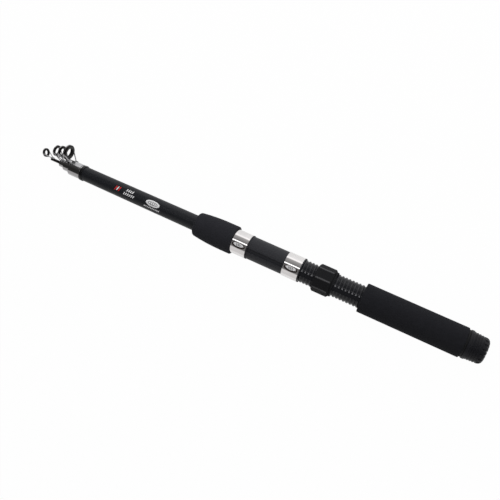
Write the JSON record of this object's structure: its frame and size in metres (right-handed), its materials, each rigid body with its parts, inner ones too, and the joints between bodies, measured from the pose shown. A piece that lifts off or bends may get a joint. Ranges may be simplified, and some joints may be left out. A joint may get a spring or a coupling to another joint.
{
  "type": "telescopic fishing rod",
  "caption": "Closed telescopic spinning rod with nested sliding sections, ring line guides, foam grips, a screw-down reel seat and a screw butt cap",
  "frame": {"origin": "on the rod's axis at the middle of the rear grip", "axes": "+X runs along the rod towards its tip, +Z is the keyway side of the reel seat and the reel foot sits on the -Z side"},
  "size_m": [0.4966, 0.0386, 0.0296],
  "materials": {
    "blank_coat": "satin charcoal coat over glass fibre",
    "grip_foam": "matt black closed-cell foam",
    "seat_moulding": "glossy black moulding",
    "bright_metal": "polished stainless sleeve",
    "socket_metal": "turned aluminium",
    "cap_moulding": "semi-gloss black moulding",
    "cap_rubber": "black rubber",
    "guide_steel": "bright drawn steel wire and band",
    "guide_ring": "polished black hard ring"
  },
  "bodies": {
    "handle": {"butt_blank": "blank_coat", "foregrip": "grip_foam", "seat_tube": "seat_moulding", "threaded_barrel": "seat_moulding", "front_hood": "seat_moulding", "front_hood_ring": "bright_metal", "rear_grip": "grip_foam", "butt_bushing": "socket_metal"},
    "sliding_hood": {"sliding_hood": "seat_moulding", "sliding_hood_ring": "bright_metal"},
    "nut_ring": {"nut_ring": "seat_moulding"},
    "lock_nut": {"lock_nut": "seat_moulding"},
    "cap_gasket": {"cap_gasket": "cap_rubber"},
    "butt_cap": {"butt_cap": "cap_moulding", "cap_pad": "cap_rubber"},
    "section_2": {"section_2_tube": "blank_coat"},
    "guide_2": {"section_2_collar": "bright_metal", "guide_2_frame": "guide_steel", "guide_2_insert": "guide_ring"},
    "section_3": {"section_3_tube": "blank_coat"},
    "guide_3": {"section_3_collar": "bright_metal", "guide_3_frame": "guide_steel", "guide_3_insert": "guide_ring"},
    "section_4": {"section_4_tube": "blank_coat"},
    "guide_4": {"section_4_collar": "bright_metal", "guide_4_frame": "guide_steel", "guide_4_insert": "guide_ring"},
    "tip_section": {"tip_rod": "blank_coat"},
    "tip_top": {"tip_top_tube": "bright_metal", "tip_top_frame": "guide_steel", "tip_top_insert": "guide_ring"}
  },
  "joints": [
    {"name": "section_2_slide", "type": "slide", "parent": "handle", "child": "section_2", "axis": [1, 0, 0], "range_m": [0, 0.3479]},
    {"name": "section_3_slide", "type": "slide", "parent": "section_2", "child": "section_3", "axis": [1, 0, 0], "range_m": [0, 0.3706]},
    {"name": "section_4_slide", "type": "slide", "parent": "section_3", "child": "section_4", "axis": [1, 0, 0], "range_m": [0, 0.3848]},
    {"name": "tip_slide", "type": "slide", "parent": "section_4", "child": "tip_section", "axis": [1, 0, 0], "range_m": [0, 0.3972]},
    {"name": "guide_2_turn", "type": "hinge", "parent": "section_2", "child": "guide_2", "pos_m": [0.38, 0, 0], "axis": [1, 0, 0], "continuous": true},
    {"name": "guide_3_turn", "type": "hinge", "parent": "section_3", "child": "guide_3", "pos_m": [0.392, 0, 0], "axis": [1, 0, 0], "continuous": true},
    {"name": "guide_4_turn", "type": "hinge", "parent": "section_4", "child": "guide_4", "pos_m": [0.4, 0, 0], "axis": [1, 0, 0], "continuous": true},
    {"name": "tip_top_turn", "type": "hinge", "parent": "tip_section", "child": "tip_top", "pos_m": [0.41, 0, 0], "axis": [1, 0, 0], "continuous": true},
    {"name": "hood_slide", "type": "slide", "parent": "handle", "child": "sliding_hood", "axis": [1, 0, 0], "range_m": [-0.007, 0.01]},
    {"name": "nut_travel", "type": "slide", "parent": "handle", "child": "nut_ring", "axis": [1, 0, 0], "range_m": [-0.0281, 0.0071]},
    {"name": "nut_turn", "type": "hinge", "parent": "nut_ring", "child": "lock_nut", "pos_m": [0.0907, 0, 0], "axis": [1, 0, 0], "range_deg": [-2880, 720]},
    {"name": "cap_draw", "type": "slide", "parent": "handle", "child": "cap_gasket", "axis": [1, 0, 0], "range_m": [-0.0161, 0]},
    {"name": "cap_turn", "type": "hinge", "parent": "cap_gasket", "child": "butt_cap", "pos_m": [-0.05, 0, 0], "axis": [1, 0, 0], "range_deg": [-2880, 0]}
  ],
  "couplings": [
    {"joint": "nut_travel", "follows": "nut_turn", "m_per_rad": 0.00055704},
    {"joint": "cap_draw", "follows": "cap_turn", "m_per_rad": 0.00031831}
  ]
}
